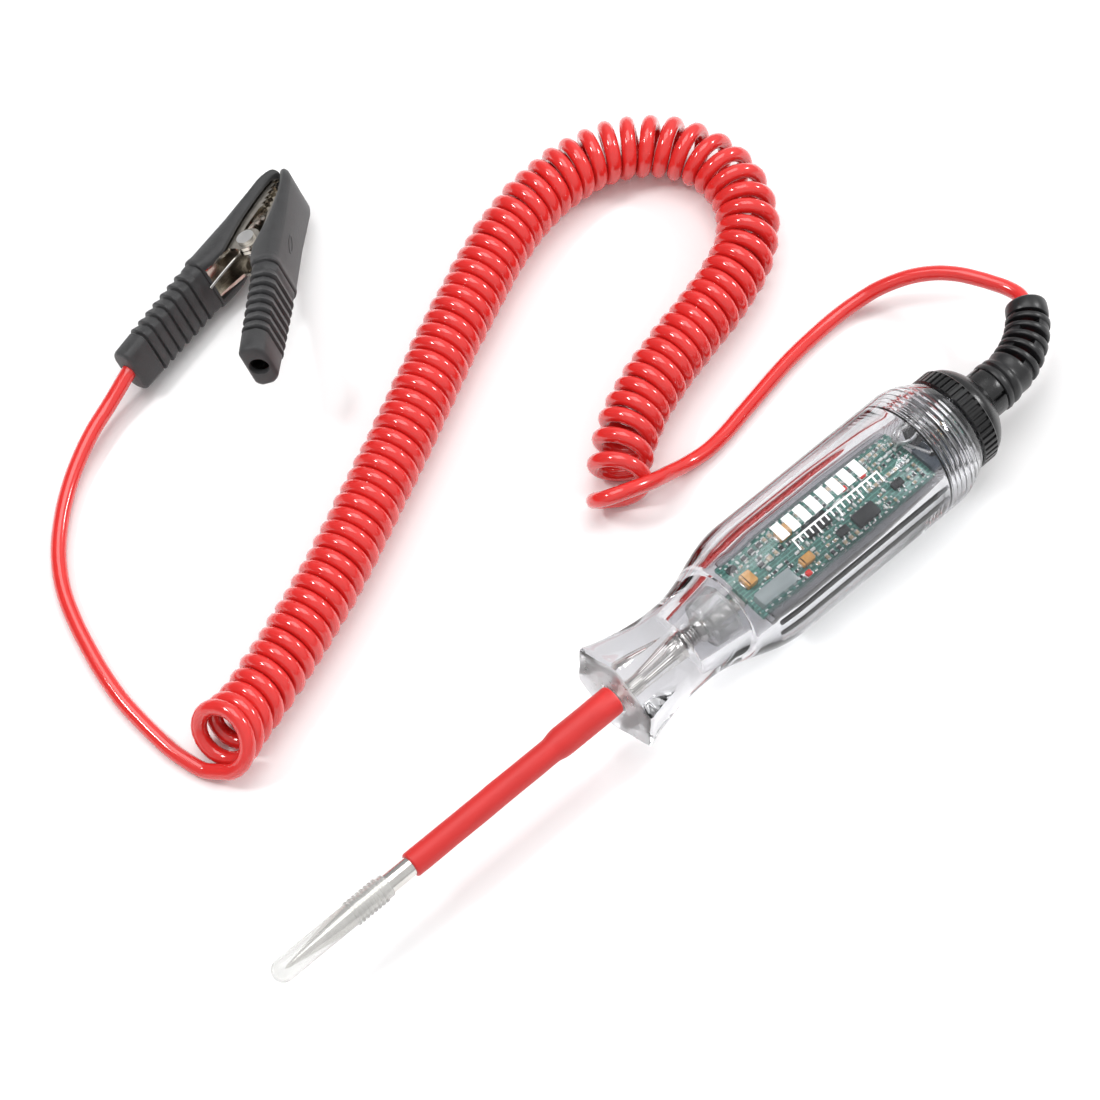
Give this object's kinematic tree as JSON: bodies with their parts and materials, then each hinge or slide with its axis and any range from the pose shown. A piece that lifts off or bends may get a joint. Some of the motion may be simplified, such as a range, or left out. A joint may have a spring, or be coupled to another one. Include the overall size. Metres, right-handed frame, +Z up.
{
  "type": "circuit test light",
  "caption": "Automotive circuit test light: clear handle with a circuit board, steel probe with a tip cap, curly cord and a booted crocodile clip.",
  "frame": {"origin": "on the surface the tool lies on, below the middle of the tool between the closed end of the tip cap and the end of the screw cap's neck", "axes": "+X along the tool from the probe tip to the screw cap, +Y to the side the cord turns to, +Z up from the surface"},
  "size_m": [0.2213, 0.1601, 0.028],
  "materials": {
    "clear_plastic": "polished clear moulding",
    "clear_soft": "translucent soft plastic",
    "nickel": "nickel plated",
    "spring_steel": "bright spring wire",
    "red_sleeve": "shrunk tube, satin",
    "board_green": "solder mask",
    "chip_black": "moulded epoxy",
    "capacitor_amber": "moulded epoxy",
    "ceramic": "ceramic with tinned ends",
    "led_red": "clear epoxy",
    "tinned_wire": "tinned",
    "grey_plastic": "moulded",
    "black_plastic": "moulded, fine texture",
    "black_rubber": "moulded, satin",
    "cord_red": "smooth extruded jacket",
    "copper": "bare wire",
    "boot_rubber": "moulded, matt"
  },
  "bodies": {
    "tester": {"probe_rod": "nickel", "shrink_sleeve": "red_sleeve", "handle_shell": "clear_plastic", "contact_spring": "spring_steel", "contact_cup": "nickel", "circuit_board": "board_green", "board_chips": "chip_black", "board_capacitors": "capacitor_amber", "board_passives": "ceramic", "indicator_leds": "led_red", "light_guide": "clear_plastic", "lead_wire": "tinned_wire", "cord_anchor": "grey_plastic", "bend_relief": "black_rubber", "cord_entry": "cord_red", "cord_handle_run": "cord_red", "cord_coil": "cord_red", "cord_clip_run": "cord_red", "cord_clip_entry": "cord_red", "lead_crimp": "copper", "fixed_boot": "boot_rubber", "fixed_jaw": "nickel", "pivot_rivet": "nickel", "clip_spring": "spring_steel"},
    "tip_cap": {"tip_cap": "clear_soft"},
    "screw_cap": {"screw_cap": "black_plastic"},
    "clip_lever": {"lever_boot": "boot_rubber", "lever_jaw": "nickel"}
  },
  "joints": [
    {"name": "tip_cap_slide", "type": "slide", "parent": "tester", "child": "tip_cap", "axis": [-1, 0, 0], "range_m": [0, 0.03]},
    {"name": "screw_cap_turn", "type": "hinge", "parent": "tester", "child": "screw_cap", "pos_m": [0.09, 0, 0.014], "axis": [1, 0, 0], "range_deg": [0, 360]},
    {"name": "clip_lever_hinge", "type": "hinge", "parent": "tester", "child": "clip_lever", "pos_m": [0.0083, 0.1322, 0.0102], "axis": [0.1078, -0.449, -0.887], "range_deg": [0, 38], "stiffness_Nm_per_rad": 0.25, "springref_deg": -34.38, "deforming": ["clip_spring"]}
  ]
}
